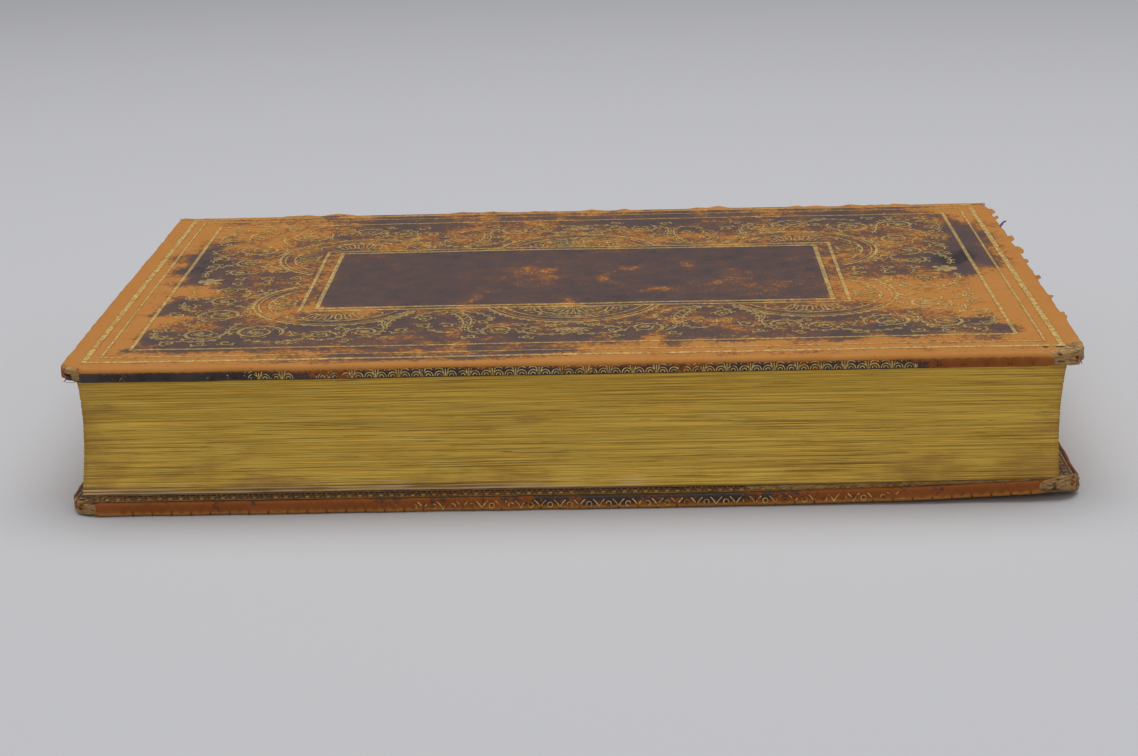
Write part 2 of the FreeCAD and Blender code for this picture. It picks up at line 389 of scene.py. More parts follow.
def frayed_corner(side, sign, size, swell, flare):
    """The split and swollen board at a corner, as points and quads."""
    n, rows = 40, 22
    (i, j, k), quads = box_skin(n, n, rows)
    reach = size + 2.5
    a, b, h = i / (n - 1) * reach, j / (n - 1) * reach, k / (rows - 1) * cover
    outer = h > cover / 2
    depth = np.where(outer, cover - h, h)
    a2, _ = quarter_round(a, depth, 0.9)
    b2, _ = quarter_round(b, depth, 0.9)
    _, depth = quarter_round(np.minimum(a, b), depth, 0.9)
    a, b = quarter_round(a2, b2, CORNER_RADIUS)
    h = np.where(outer, cover - depth, depth)
    tip = np.exp(-((np.hypot(a, b) / (0.62 * size)) ** 2))
    split = noise(0.35 * (a - b), h, 0.42, side + sign + 53) + 0.6 * noise(a, b, 0.8, 57 + sign)
    crumble = noise(a + h, b - h, 1.5, 59 + side) + 0.5 * noise(a - h, b + 2 * h, 0.5, 61)
    out = 0.42 - tip * (0.1 + swell * 0.25) - 0.2 * split * (0.35 + tip) - 0.16 * crumble * tip
    a = a + out * (a < 2.4) * (1 - smooth(1.2, 2.4, a))
    b = b + out * (b < 2.4) * (1 - smooth(1.2, 2.4, b))
    half = cover / 2
    h = half + (h - half) * (0.8 + tip * swell) + tip * flare
    h = h + 0.18 * (crumble + 0.5 * split) * (0.2 + tip) * np.where(outer, 1, -1)
    points = cover_point(side, sign * (half_height - a), b, h)
    quads = quads[:, ::-1] if side * sign > 0 else quads
    return points, quads, split


def frayed_board(side, material):
    """Both frayed corners of a cover, with a plain board between them that the leather hides."""
    name, body = SIDES[side]
    all_points, all_quads, all_split, count = [], [], [], 0
    for sign, size, (swell, flare) in zip((-1, 1), WEAR[side], FRAYED[side]):
        points, quads, split = frayed_corner(side, sign, size, swell, flare)
        all_points.append(points)
        all_quads.append(quads + count)
        all_split.append(split)
        count += len(points)
    inset, clear_of_corner = 1.1, 12
    corners = np.array([(x, v, h) for x in (0, 1) for v in (0, 1) for h in (0, 1)], float)
    x = (corners[:, 0] * 2 - 1) * (half_height - clear_of_corner)
    v = inset + corners[:, 1] * (cover_depth - 2 * inset)
    h = inset + corners[:, 2] * (cover - 2 * inset)
    all_points.append(cover_point(side, x, v, h))
    box = np.array([(0, 1, 3, 2), (4, 6, 7, 5), (0, 4, 5, 1), (2, 3, 7, 6), (0, 2, 6, 4), (1, 5, 7, 3)])
    all_quads.append(box + count)
    all_split.append(np.zeros(8))
    points, quads, split = (np.concatenate(parts) for parts in (all_points, all_quads, all_split))
    add_mesh(
        f"{name}_board_frayed", points, quads, body, material, (f"{name}_board",),
        {"split": split},
    )


# Paper.

GILT_ROWS = 136
# Leaves that have lost their gilt, as shares of the thickness from below, and how bare each is.
BARE_LEAVES = ((0.01, 1.2), (0.034, 1.0), (0.072, 0.8))
# A pastedown's face stands this far off the leather round it.
PASTED = 0.05


def paper_plate(node, side, body, material):
    """A pastedown or a free endpaper: the CAD sheet, following the cover that it lies on."""
    low, high = node_box(node)
    columns, rows = 60, 40
    xs = np.linspace(low[0], high[0], columns)
    ys = np.linspace(low[1], high[1], rows)
    zs = np.array([low[2], high[2]]) - (PASTED * side if body != LEAVES else 0)
    (i, j, k), quads = box_skin(columns, rows, 2)
    lean = head_lean(xs[i], j / (rows - 1)) if body == LEAVES else 0
    points = np.stack([xs[i] + lean, ys[j], zs[k]], -1)
    points = points if side > 0 else curl(points)
    name = node.replace("free_", "") + "_marbled"
    add_mesh(name, points, quads, body, material, (node,), smooth_shade=False)


def head_lean(x, t):
    """The leaves' head edge has worn back towards the fore-edge, t = 0."""
    return -1.5 * smooth(70, 111, x) * smooth(0.3, 0, t)


def leaf_block(material):
    """The leaves. Each row of points along an open edge is a few leaves, a little in or out."""
    xs = np.linspace(-leaves_half, leaves_half, 130)
    ts = np.linspace(0, 1, 84) ** 1.15
    rows = np.arange(GILT_ROWS) / (GILT_ROWS - 1)
    (i, j, k), quads = box_skin(len(xs), len(ts), GILT_ROWS)
    x, t, row = xs[i], ts[j], rows[k]
    half_leaves = leaves_top - middle
    off = 2 * row - 1
    z = middle + half_leaves * off
    fore = leaves_low[1] + FORE_HOLLOW * (1 - off**2)
    back = back_y - BACK_RISE * (off * half_leaves / half_chord) ** 2
    y = fore + (back - fore) * t
    flare = 0.1 * smooth(back_y - 9, back_y - 1, y)
    z = middle + (z - middle) * (1 + flare)
    step = 0.09 * noise(7.7 * k, x / 6, 5, 71) + 0.07 * noise(3.1 * k, x / 25, 1, 73)
    gathering = np.abs((row * 14) % 1 - 0.5)
    step = step + 0.12 * smooth(0.46, 0.5, gathering)
    loose = smooth(0.085, 0.03, row) * smooth(10, -30, x) * (0.6 + 0.6 * noise(9.1 * k, x / 12, 2, 77))
    scar = smooth(0.5, 0.8, noise(x / 14, 5.3 * k, 1, 79)) * smooth(0.2, 0.6, noise(5.3 * k, x / 5, 3, 83))
    step = step + 0.35 * loose + 0.12 * scar
    y = y + np.where(j == 0, step, 0)
    ends = (i == 0) | (i == len(xs) - 1)
    end_step = 0.09 * noise(7.7 * k, y / 6, 5, 71) + 0.12 * smooth(0.46, 0.5, gathering)
    x = x - np.sign(x) * np.where(ends, end_step + 0.05, 0)
    lean = 0.6 * (z - middle) / middle * smooth(0.3, 0, t) + head_lean(x, t)
    points = curl(np.stack([x + lean, y, z], -1))
    last = sum(height * np.exp(-(((row - place) / 0.007) ** 2)) for place, height in BARE_LEAVES)
    bare = last * smooth(50, 0, x + 12 * noise(x, 4 * k, 9, 87)) * (0.75 + 0.4 * noise(x, 9 * k, 6, 89))
    # How far each row steps in, for the painted shade on those leaves.
    recess = step / 0.3
    add_mesh(
        "leaves", points, quads, LEAVES, material, ("text_block",),
        {"bare": bare, "recess": recess},
    )


# Spine.

BAND_RISE = 2.2
BAND_HALF_WIDTH = 4.5
JOINT_ROUND = 1.6


def band_rise(x):
    """How far a raised band stands off the spine."""
    rise = 0
    for place in band_places:
        t = np.clip(np.abs(x - place) / BAND_HALF_WIDTH, 0, 1)
        rise = rise + BAND_RISE * (0.5 + 0.5 * np.cos(np.pi * t)) ** 0.8
    return rise


def spine_point(x, turn, out):
    """A point of the spine's leather, turn degrees up from the middle of the back."""
    radius = spine_radius + band_rise(x) + out + 0.08 * noise(x, turn, 13, 91)
    angle = np.radians(turn)
    y = back_centre + radius * np.cos(angle)
    z = radius * np.sin(angle)
    limit = middle - joint_drop + 0.15 + out
    over = np.clip(np.abs(z) - limit + JOINT_ROUND, 0, None)
    z = np.sign(z) * (np.minimum(np.abs(z), limit - JOINT_ROUND) + JOINT_ROUND * np.tanh(over / JOINT_ROUND))
    return np.stack([x + 0 * turn, y, middle + z], -1)


def spine_darkness(x, turn):
    """The bands, the caps and the leather beside the joints are worn to tan."""
    rise = band_rise(x) / BAND_RISE
    near_band = np.exp(-(((rise - 0.35) / 0.2) ** 2))
    ends = smooth(108, 114.5, np.abs(x))
    level = 0.62 - 0.42 * rise**2 + 0.12 * near_band - 0.4 * ends - 0.25 * smooth(36, 50, np.abs(turn))
    return level + 0.25 * fractal(x, 0.37 * turn, 9, 93)


def spine_cover(material):
    """The spine's leather, from one joint to the other, turned in over the endbands."""
    # The profile of a cap, for a book whose half height is 115 mm.
    lip_x = np.array([113.6, 114.3, 114.8, 115.0, 115.0, 114.85, 114.4, 113.7])
    lip_out = np.array([-2.4, -2.5, -2.2, -1.6, -0.9, -0.4, -0.1, 0.0])
    body_x = np.linspace(-113, 113, 330)
    xs = np.concatenate([-lip_x, body_x, lip_x[::-1]]) * half_height / 115
    outs = np.concatenate([lip_out, 0 * body_x, lip_out[::-1]])
    turns = np.linspace(-57, 57, 130)
    x, turn = np.meshgrid(xs, turns, indexing="ij")
    out = np.broadcast_to(outs[:, None], x.shape)
    x, turn, out = x.ravel(), turn.ravel(), out.ravel()
    ragged = 0.35 * noise(turn, x * 0, 5, 95) * smooth(113, 115, np.abs(x))
    points = spine_point(x, turn, out * smooth(52, 44, np.abs(turn)) + ragged)
    quads = grid(len(xs), len(turns))
    add_mesh(
        "spine_leather_tooled", points, quads, LEAVES, material, ("spine_leather",),
        {"dark": spine_darkness(x, turn)},
    )


# How far a joint strip reaches on to its cover, and its turns on the spine: over the shoulder and at its end.
COVER_LAP = 3.2
CREST_TURN = 51
END_TURN = 46
# Middle and half length of each torn stretch along the front joint.
TORN_JOINT = ((-80, 5), (-68, 4), (-26, 5), (-12, 3), (12, 1.6), (36, 5), (64, 5), (88, 7))


def joint_strip(side, material):
    """The leather of one joint."""
    name, body = SIDES[side]
    rows, columns = 15, 280
    xs = np.linspace(-half_height + 0.4, half_height - 0.6, columns)
    start_y = hinge_y - COVER_LAP
    start = np.stack([xs, 0 * xs + start_y, top + 0.04 + relief(xs, start_y - fore_y, side)], -1)
    crease = np.stack([xs, 0 * xs + hinge_y + 0.3, 0 * xs + top + 0.02], -1)
    over = spine_point(xs, CREST_TURN + 0 * xs, 0.14)
    end = spine_point(xs, END_TURN + 0 * xs, 0.14)
    t = np.linspace(0, 1, rows)[:, None, None]
    points = start * (1 - t) ** 3 + 3 * crease * t * (1 - t) ** 2 + 3 * over * t * t * (1 - t) + end * t**3
    points = points.reshape(-1, 3)
    x, y = points[:, 0], points[:, 1]
    between = np.sin(np.pi * np.repeat(t.ravel(), columns))
    points[:, 2] += 0.07 * noise(x, y, 5, side + 97) * between
    if side > 0:
        torn = sum(np.exp(-(((x - place) / width) ** 4)) for place, width in TORN_JOINT)
        points[:, 2] += torn * (0.3 + 0.25 * noise(x, y, 1.7, 109)) * between**2
    else:
        points[:, 2] = top - points[:, 2]
        points = curl(points)
    quads = grid(rows, columns, flip=side < 0)
    dark = 0.25 + 0.3 * fractal(x, y, 8, side + 99) + 0.2 * noise(x, y, 2, side + 101)
    z = points[:, 2].mean() * MM
    bend_from, bend_to = ((0, (hinge_y + away) * MM, z) for away in (2.2, -1.2))
    add_mesh(
        f"{name}_joint_leather", points, quads, (LEAVES, body, bend_from, bend_to), material, (),
        {"dark": dark},
    )


def endband(node, material):
    """A bead of silk wound over a core, in two colours."""
    low, high = node_box(node)
    x0 = (low[0] + high[0]) / 2
    radius = (high[0] - low[0]) / 2
    centre_radius = back_radius + GLUE - ENDBAND_SINK
    turns = np.linspace(-40.5, 40.5, 300)
    around = np.linspace(0, 2 * np.pi, 21)[:-1]
    turn, a = np.meshgrid(turns, around, indexing="ij")
    wound = 0.08 * np.abs(np.sin(np.radians(turn) * 42 * 2))
    r = radius * (0.93 + wound) * np.sqrt(np.clip(1 - (np.abs(turn) / 41.0) ** 12, 0.02, 1))
    out = centre_radius + r * np.cos(a)
    angle = np.radians(turn)
    y = back_centre + out * np.cos(angle)
    z = middle + out * np.sin(angle)
    points = np.stack([x0 + r * np.sin(a), y, z], -1).reshape(-1, 3)
    quads = grid(len(turns), len(around), wrap=True, flip=True)
    add_mesh(f"{node}_silk", points, quads, LEAVES, material, (node,), {"wind": turn.ravel()})


# Materials.


class Shader:
    """A material under construction. Its methods add nodes and give back their output sockets."""

    def __init__(self, name, roughness=0.5, metallic=0.0):
        self.material = bpy.data.materials.new(name)
        self.material.use_nodes = True
        self.nodes = self.material.node_tree.nodes
        self.links = self.material.node_tree.links
        self.surface = self.nodes["Principled BSDF"]
        self.surface.inputs["Roughness"].default_value = roughness
        self.surface.inputs["Metallic"].default_value = metallic
        coordinates = self.nodes.new("ShaderNodeTexCoord")
        self.place = self.stretch(1000, 1000, 1000, coordinates.outputs["Object"])

    def put(self, socket, value):
        """Links the value if it is a socket, else sets it."""
        if isinstance(value, bpy.types.NodeSocket):
            self.links.new(value, socket)
        else:
            socket.default_value = value

    def node(self, kind, inputs, **settings):
        """A new node with these inputs, by name or number, and these settings."""
        node = self.nodes.new("ShaderNode" + kind)
        for name, value in settings.items():
            setattr(node, name, value)
        for key, value in inputs.items():
            self.put(node.inputs[key], value)
        return node

    def stretch(self, sx, sy, sz, source=None):
        """The source, or else the place in millimetres, times a factor along each axis."""
        inputs = {0: source or self.place, 1: (sx, sy, sz)}
        return self.node("VectorMath", inputs, operation="MULTIPLY").outputs[0]

    def noise(self, size, detail=4.0, roughness=0.55, source=None, distortion=0.0):
        inputs = {"Vector": source or self.place, "Scale": 1 / size, "Detail": detail}
        inputs |= {"Roughness": roughness, "Distortion": distortion}
        return self.node("TexNoise", inputs).outputs["Fac"]

    def cells(self, size, source=None):
        inputs = {"Vector": source or self.place, "Scale": 1 / size}
        return self.node("TexVoronoi", inputs, feature="SMOOTH_F1").outputs["Distance"]

    def math(self, operation, a, b=0.0):
        return self.node("Math", {0: a, 1: b}, operation=operation).outputs[0]

    def add(self, *values):
        total = values[0]
        for value in values[1:]:
            total = self.math("ADD", total, value)
        return total

    def times(self, a, b):
        return self.math("MULTIPLY", a, b)

    def step(self, value, low, high, to_low=0.0, to_high=1.0):
        """value from low..high to to_low..to_high, smoothly."""
        inputs = {"Value": value, "From Min": low, "From Max": high, "To Min": to_low, "To Max": to_high}
        return self.node("MapRange", inputs, interpolation_type="SMOOTHSTEP").outputs["Result"]

    def mix(self, share, a, b):
        """Colour a where share is 0 and b where it is 1."""
        a, b = (c if isinstance(c, bpy.types.NodeSocket) else (*c, 1) for c in (a, b))
        return self.node("Mix", {"Factor": share, 6: a, 7: b}, data_type="RGBA").outputs[2]

    def attribute(self, name):
        return self.node("Attribute", {}, attribute_name=name).outputs["Fac"]

    def bump(self, height, distance, strength=1.0):
        """Relief of that distance in millimetres, on top of what is there."""
        node = self.node("Bump", {"Strength": strength, "Distance": distance * MM, "Height": height})
        normal = self.surface.inputs["Normal"]
        if normal.links:
            self.links.new(normal.links[0].from_socket, node.inputs["Normal"])
        self.put(normal, node.outputs["Normal"])

    def finish(self, colour, roughness=None):
        """The material, once its surface has its colour."""
        self.put(self.surface.inputs["Base Color"], colour)
        if roughness is not None:
            self.put(self.surface.inputs["Roughness"], roughness)
        return self.material


DARK_LEATHER = (0.07, 0.043, 0.04)
BROWN_LEATHER = (0.1, 0.05, 0.037)
RED_LEATHER = (0.22, 0.075, 0.022)
TAN_LEATHER = (0.45, 0.17, 0.028)
PALE_LEATHER = (0.52, 0.235, 0.06)
EDGE_LEATHER = (0.27, 0.068, 0.014)
BURNT_LEATHER = (0.021, 0.012, 0.009)
GOLD = (0.84, 0.59, 0.21)
WORN_GOLD = (0.46, 0.29, 0.08)
GILT = (0.97, 0.64, 0.095)
DULL_GILT = (0.54, 0.32, 0.035)


def leather_look(shader):
    """Colour, roughness and share of skin kept. The dark skin has flaked off to tan in places."""
    dark = shader.attribute("dark")
    edge = shader.attribute("edge")
    wide = shader.noise(6, 5, 0.62)
    fine = shader.noise(1.3, 5, 0.7)
    grit = shader.noise(0.4, 2, 0.5)
    layers = ((wide, 0.95), (fine, 1.25), (grit, 0.55))
    flake = shader.add(dark, *(shader.times(shader.math("SUBTRACT", layer, 0.5), w) for layer, w in layers))
    kept = shader.step(flake, 0.45, 0.58)
    stain = shader.step(flake, 0.3, 0.5)
    tan = shader.mix(shader.noise(11, 4, 0.6), TAN_LEATHER, PALE_LEATHER)
    pits = shader.step(shader.noise(0.55, 3, 0.6), 0.6, 0.72)
    tan = shader.mix(shader.times(pits, 0.5), tan, RED_LEATHER)
    tan = shader.mix(shader.times(stain, 0.75), tan, RED_LEATHER)
    tan = shader.mix(shader.times(edge, 0.85), tan, EDGE_LEATHER)
    skin = shader.mix(shader.step(shader.noise(5, 4, 0.6), 0.4, 0.65), DARK_LEATHER, BROWN_LEATHER)
    rubbed = shader.times(shader.step(fine, 0.47, 0.62, 0, 0.8), shader.step(flake, 1.0, 0.62))
    skin = shader.mix(rubbed, skin, RED_LEATHER)
    burnt = shader.math("MAXIMUM", shader.step(flake, 0.95, 1.25), shader.times(edge, 0.8))
    skin = shader.mix(burnt, skin, BURNT_LEATHER)
    colour = shader.mix(kept, tan, skin)
    roughness = shader.step(kept, 0, 1, 0.66, 0.44)
    shader.put(shader.surface.inputs["Specular IOR Level"], shader.step(kept, 0, 1, 0.16, 0.5))
    grain = shader.cells(0.55)
    height = shader.add(shader.times(grain, 0.55), shader.times(fine, 0.35), shader.times(kept, 0.28))
    shader.bump(height, 0.11, 0.6)
    return colour, roughness, kept


def leather_material():
    """Worn leather."""
    shader = Shader("tooled_leather")
    colour, roughness, _ = leather_look(shader)
    return shader.finish(colour, roughness)


def gold_material():
    """Gold leaf in a tooled line, worn through to the leather in places."""
    shader = Shader("gold_tooling")
    colour, roughness, kept = leather_look(shader)
    left = shader.add(shader.noise(2.4, 4, 0.7), shader.times(kept, 0.14), shader.attribute("gold"))
    gold_left = shader.step(left, 0.5, 0.6)
    shine = shader.mix(shader.step(shader.noise(0.9, 3, 0.6), 0.35, 0.65), GOLD, WORN_GOLD)
    shader.put(shader.surface.inputs["Metallic"], shader.times(gold_left, 0.5))
    rough = shader.math("SUBTRACT", roughness, shader.times(gold_left, 0.14))
    return shader.finish(shader.mix(gold_left, colour, shine), rough)


def pressed_shade_material():
    """Leather with painted shade: the shadow in the pressed edge of a tooled line."""
    shader = Shader("tooled_groove", 0.6)
    colour, roughness, _ = leather_look(shader)
    # Painted shade in the pressed edge, deeper in some places than others.
    depth = shader.step(shader.noise(1.7, 4, 0.7), 0.42, 0.58)
    return shader.finish(shader.mix(shader.times(depth, 0.7), colour, (0.075, 0.034, 0.018)), roughness)


def board_material():
    """The grey-brown fibres of a worn board corner, with painted shade in its splits."""
    shader = Shader("frayed_board", 0.85)
    fibres = shader.noise(1.0, 5, 0.72, shader.stretch(0.4, 0.4, 2.4), 0.8)
    tufts = shader.noise(0.7, 4, 0.7)
    colour = shader.mix(shader.step(fibres, 0.34, 0.6), (0.2, 0.095, 0.03), (0.46, 0.275, 0.1))
    colour = shader.mix(shader.step(tufts, 0.55, 0.72), colour, (0.56, 0.37, 0.165))
    # Painted shade: the board is darkened where its layers have split and sunk.
    colour = shader.mix(shader.step(shader.attribute("split"), -0.25, -1.1), colour, (0.075, 0.034, 0.015))
    shader.bump(shader.add(fibres, tufts), 0.3)
    return shader.finish(colour)


def gilt_material():
    """Gilded leaf edges: dull gold, with painted shade in the gaps between leaves and on the leaves that step
    in, and browner at the head and tail, towards the bottom and in patches.
    """
    shader = Shader("gilt_leaf_edges", 0.45, 0.35)
    hair = shader.noise(1.0, 3, 0.8, shader.stretch(0.014, 0.014, 5.4))
    line = shader.noise(1.0, 3, 0.75, shader.stretch(0.025, 0.025, 4.4))
    leaf_gap_shade = shader.noise(1.0, 5, 0.7, shader.stretch(0.09, 0.09, 4.4), 0.2)
    dirt = shader.noise(9, 5, 0.65, shader.stretch(0.5, 0.5, 1.8))
    colour = shader.mix(shader.step(hair, 0.38, 0.62), DULL_GILT, GILT)
    # Painted shade: fine dark lines, and darker streaks, in the gaps between leaves.
    colour = shader.mix(shader.step(line, 0.55, 0.6, 0, 0.75), colour, (0.2, 0.105, 0.016))
    colour = shader.mix(shader.step(leaf_gap_shade, 0.63, 0.68, 0, 0.92), colour, (0.06, 0.028, 0.01))
    x, _, z = shader.node("SeparateXYZ", {0: shader.place}).outputs
    # Browner towards the bottom, at the head and tail, and in patches.
    low = shader.step(z, 15, 4)
    ends = shader.step(shader.math("ABSOLUTE", x), 92, 113)
    brown = shader.add(shader.times(low, 0.15), shader.times(ends, 0.22), dirt)
    colour = shader.mix(shader.step(brown, 0.54, 0.9, 0, 0.55), colour, (0.3, 0.14, 0.035))
    # Painted shade on the leaves that step in. They also lose the gilt's metal.
    recess = shader.step(shader.attribute("recess"), 0.1, 0.9)
    colour = shader.mix(shader.times(recess, 0.7), colour, (0.1, 0.045, 0.014))
    bare = shader.step(shader.attribute("bare"), 0.35, 0.6)
    colour = shader.mix(bare, colour, (0.7, 0.45, 0.22))
    shader.put(shader.surface.inputs["Metallic"], shader.step(shader.add(bare, recess), 0, 1, 0.35, 0.0))
    shader.bump(shader.add(shader.times(hair, 0.7), line), 0.12, 0.8)
    return shader.finish(colour, shader.step(brown, 0.4, 0.8, 0.42, 0.62))


def marbled_material():
    """Combed marbled paper in muted colours."""
    shader = Shader("marbled_paper", 0.7)
    swirl = shader.stretch(1, 0.5, 1)
    drops = shader.noise(5, 4, 0.55, swirl, 1.6)
    veins = shader.cells(3.2, swirl)
    colour = shader.mix(shader.step(drops, 0.38, 0.48), (0.15, 0.04, 0.03), (0.055, 0.07, 0.085))
    colour = shader.mix(shader.step(drops, 0.52, 0.6), colour, (0.3, 0.19, 0.09))
    colour = shader.mix(shader.step(veins, 0.55, 0.68), colour, (0.38, 0.29, 0.19))
    colour = shader.mix(shader.step(shader.noise(30, 4, 0.6), 0.5, 0.75, 0, 0.5), colour, (0.3, 0.19, 0.09))
    normal = shader.node("NewGeometry", {}).outputs["Normal"]
    _, _, normal_z = shader.node("SeparateXYZ", {0: normal}).outputs
    flat = shader.step(shader.math("ABSOLUTE", normal_z), 0.3, 0.6)
    edge = shader.mix(shader.noise(2, 4, 0.6), (0.16, 0.08, 0.03), (0.42, 0.27, 0.1))
    shader.bump(shader.noise(0.4, 3, 0.6), 0.03)
    return shader.finish(shader.mix(flat, edge, colour))


def silk_material():
    """Silk in two colours by turns, dirty in places."""
    shader = Shader("striped_silk", 0.42)
    wind = shader.times(shader.attribute("wind"), 1 / 8.4)
    stripe = shader.math("FRACT", shader.add(wind, 40.0))
    colour = shader.mix(shader.step(stripe, 0.46, 0.54), (0.4, 0.05, 0.035), (0.6, 0.47, 0.25))
    colour = shader.mix(shader.step(shader.noise(2, 4, 0.6), 0.5, 0.8, 0, 0.6), colour, (0.16, 0.07, 0.03))
    return shader.finish(colour)


def thread_material(name, light, dark, turns):
    """Cord or paper with fibres along it."""
    shader = Shader(name, 0.8)
    fibres = shader.noise(1.0, 5, 0.65, shader.stretch(*turns), 0.5)
    shader.bump(fibres, 0.15)
    return shader.finish(shader.mix(shader.step(fibres, 0.3, 0.7), dark, light))


# Strokes of the gold tooling. Each is a path of points and a width, in millimetres.

SEGMENT = 0.5
LINE = 0.42
BOLD = 0.62


def arc(cx, cy, rx, start, stop, ry=None):
    """Part of an ellipse, between two angles in degrees."""
    ry = rx if ry is None else ry
    count = max(3, int(math.radians(abs(stop - start)) * max(rx, ry) / SEGMENT) + 2)
    a = np.radians(np.linspace(start, stop, count))
    return np.stack([cx + rx * np.cos(a), cy + ry * np.sin(a)], -1)


def spiral(cx, cy, r, start, turns, hand=1, inner=0.22):
    """A path that winds in to a share of its first radius."""
    count = int(2 * math.pi * r * turns * 0.7 / SEGMENT) + 4
    t = np.linspace(0, 1, count)
    a = np.radians(start) + hand * 2 * math.pi * turns * t
    radius = r * (1 - (1 - inner) * t**0.9)
    return np.stack([cx + radius * np.cos(a), cy + radius * np.sin(a)], -1)


def bend(*corners):
    """A cubic curve through its first and last corner."""
    p = np.array(corners, float)
    length = np.linalg.norm(np.diff(p, axis=0), axis=1).sum()
    t = np.linspace(0, 1, max(4, int(length / SEGMENT)))[:, None]
    return p[0] * (1 - t) ** 3 + 3 * p[1] * t * (1 - t) ** 2 + 3 * p[2] * t * t * (1 - t) + p[3] * t**3


def toward(angle):
    """The unit vector at an angle in degrees."""
    return np.array([math.cos(math.radians(angle)), math.sin(math.radians(angle))])


def leaf(x, y, angle, length, width, line=LINE):
    """The two sides of a leaf and its midrib."""
    along, across = toward(angle), toward(angle + 90)
    foot = np.array([x, y])
    tip = foot + along * length
    paths = []
    for belly in (-across * width, across * width):
        near, far = foot + along * 0.25 * length + belly, tip - along * 0.3 * length + belly * 0.7
        paths.append(bend(foot, near, far, tip))
    paths.append(np.stack([foot, foot + along * 0.6 * length]))
    return [(path, line) for path in paths]


def hooks(path, size, gap, side, line=LINE):
    """Short curled leaflets along one side of a path."""
    length = np.concatenate([[0], np.cumsum(np.linalg.norm(np.diff(path, axis=0), axis=1))])
    strokes = []
    for s in np.arange(gap / 2, length[-1] - gap / 3, gap):
        foot, ahead = (np.array([np.interp(s + d, length, path[:, n]) for n in (0, 1)]) for d in (0, 0.2))
        along = (ahead - foot) / (np.linalg.norm(ahead - foot) + 1e-9)
        out = side * np.array([-along[1], along[0]])
        tip = foot + (0.55 * out + along) * size
        curve = bend(foot, foot + 0.8 * out * size, foot + (1.1 * out + 0.7 * along) * size, tip)
        strokes.append((curve, line))
    return strokes


def flutes(cx, cy, near, far, start, stop, step):
    """A fan of petals round a centre, each closed by a small loop."""
    centre = np.array([cx, cy])
    strokes = []
    for angle in np.arange(start + step / 2, stop, step):
        ray, side = toward(angle), toward(angle + 90) * math.radians(step) * far * 0.4
        foot, head = centre + ray * near, centre + ray * far
        for half in (side, -side):
            strokes.append((bend(foot, foot + half * 0.5, head - ray + half, head + half * 0.45), LINE))
        strokes.append((arc(*head, abs(side).max() * 0.5, 0, 360), 0.3))
    return strokes


def scroll(cx, cy, r, start, turns, hand=1):
    """A spiral with leaflets outside, and for a large one leaves and a berry at its heart."""
    main = spiral(cx, cy, r, start, turns, hand, 0.16)
    strokes = [(main, BOLD if r > 5.5 else LINE + 0.06)]
    outside = main[: len(main) * 3 // 5]
    strokes += hooks(outside, 0.8 + 0.18 * r, 1.7 + 0.3 * r, -hand)
    if r > 3.4:
        strokes.append((spiral(cx, cy, r * 0.84, start + 20 * hand, turns * 0.6, hand, 0.5), 0.3))
        heart = main[len(main) * 3 // 5:]
        strokes += hooks(heart, 0.26 * r, 0.3 * r, -hand, 0.32)
        for n in range(3):
            angle = start + 360 * turns * hand + 50 * (n - 1)
            strokes += leaf(cx, cy, angle, 0.42 * r, 0.13 * r, 0.32)
    strokes.append((arc(cx, cy, 0.12 + 0.07 * r, 0, 360), LINE))
    return strokes


# Centre, radius, first angle, turns and hand of each scroll in a quarter of the border.
SCROLLS = (
    (17.2, 52.4, 4.5, 60, 1.5, -1), (49.0, 51.6, 4.6, 40, 1.5, -1), (58.4, 53.6, 3.6, 170, 1.4, 1),
    (74.0, 50.2, 6.5, 150, 1.8, 1), (86.8, 51.2, 5.7, 200, 1.6, -1), (84.8, 34.4, 6.4, 80, 1.7, -1),
    (86.0, 20.3, 4.6, 250, 1.5, 1), (86.8, 9.8, 3.5, 60, 1.4, -1), (95.6, 17.2, 2.3, 90, 1.2, 1),
    (95.4, 33.6, 2.6, 270, 1.2, 1), (95.6, 42.4, 2.4, 90, 1.2, -1), (94.6, 25.4, 2.4, 250, 1.2, -1),
    (94.6, 47.8, 2.0, 250, 1.1, 1), (97.0, 54.0, 2.1, 160, 1.2, 1), (93.4, 59.2, 2.2, 80, 1.2, -1),
    (86.0, 60.0, 1.9, 0, 1.1, 1), (79.8, 59.2, 2.0, 180, 1.1, -1), (66.0, 58.8, 2.2, 0, 1.2, 1),
    (64.6, 52.2, 2.0, 200, 1.1, -1), (52.6, 58.6, 1.6, 30, 1.1, 1), (55.0, 48.4, 1.8, 120, 1.1, 1),
    (43.2, 56.8, 1.8, 180, 1.1, -1), (40.6, 50.6, 2.4, 20, 1.2, 1), (35.4, 40.8, 2.3, 300, 1.3, -1),
    (35.6, 47.2, 2.2, 100, 1.2, 1), (29.6, 47.6, 2.1, 340, 1.2, -1), (20.8, 45.0, 2.0, 200, 1.2, 1),
    (9.6, 53.6, 2.7, 200, 1.3, 1), (4.8, 49.6, 1.8, 0, 1.1, -1), (12.6, 48.4, 1.7, 150, 1.1, 1),
    (23.6, 57.4, 1.9, 0, 1.1, 1), (10.2, 58.8, 1.6, 180, 1.1, -1), (76.4, 10.0, 2.6, 330, 1.2, 1),
    (72.2, 2.6, 2.1, 90, 1.1, 1), (79.6, 2.4, 2.2, 270, 1.1, -1), (86.4, 2.6, 1.8, 90, 1.1, 1),
)
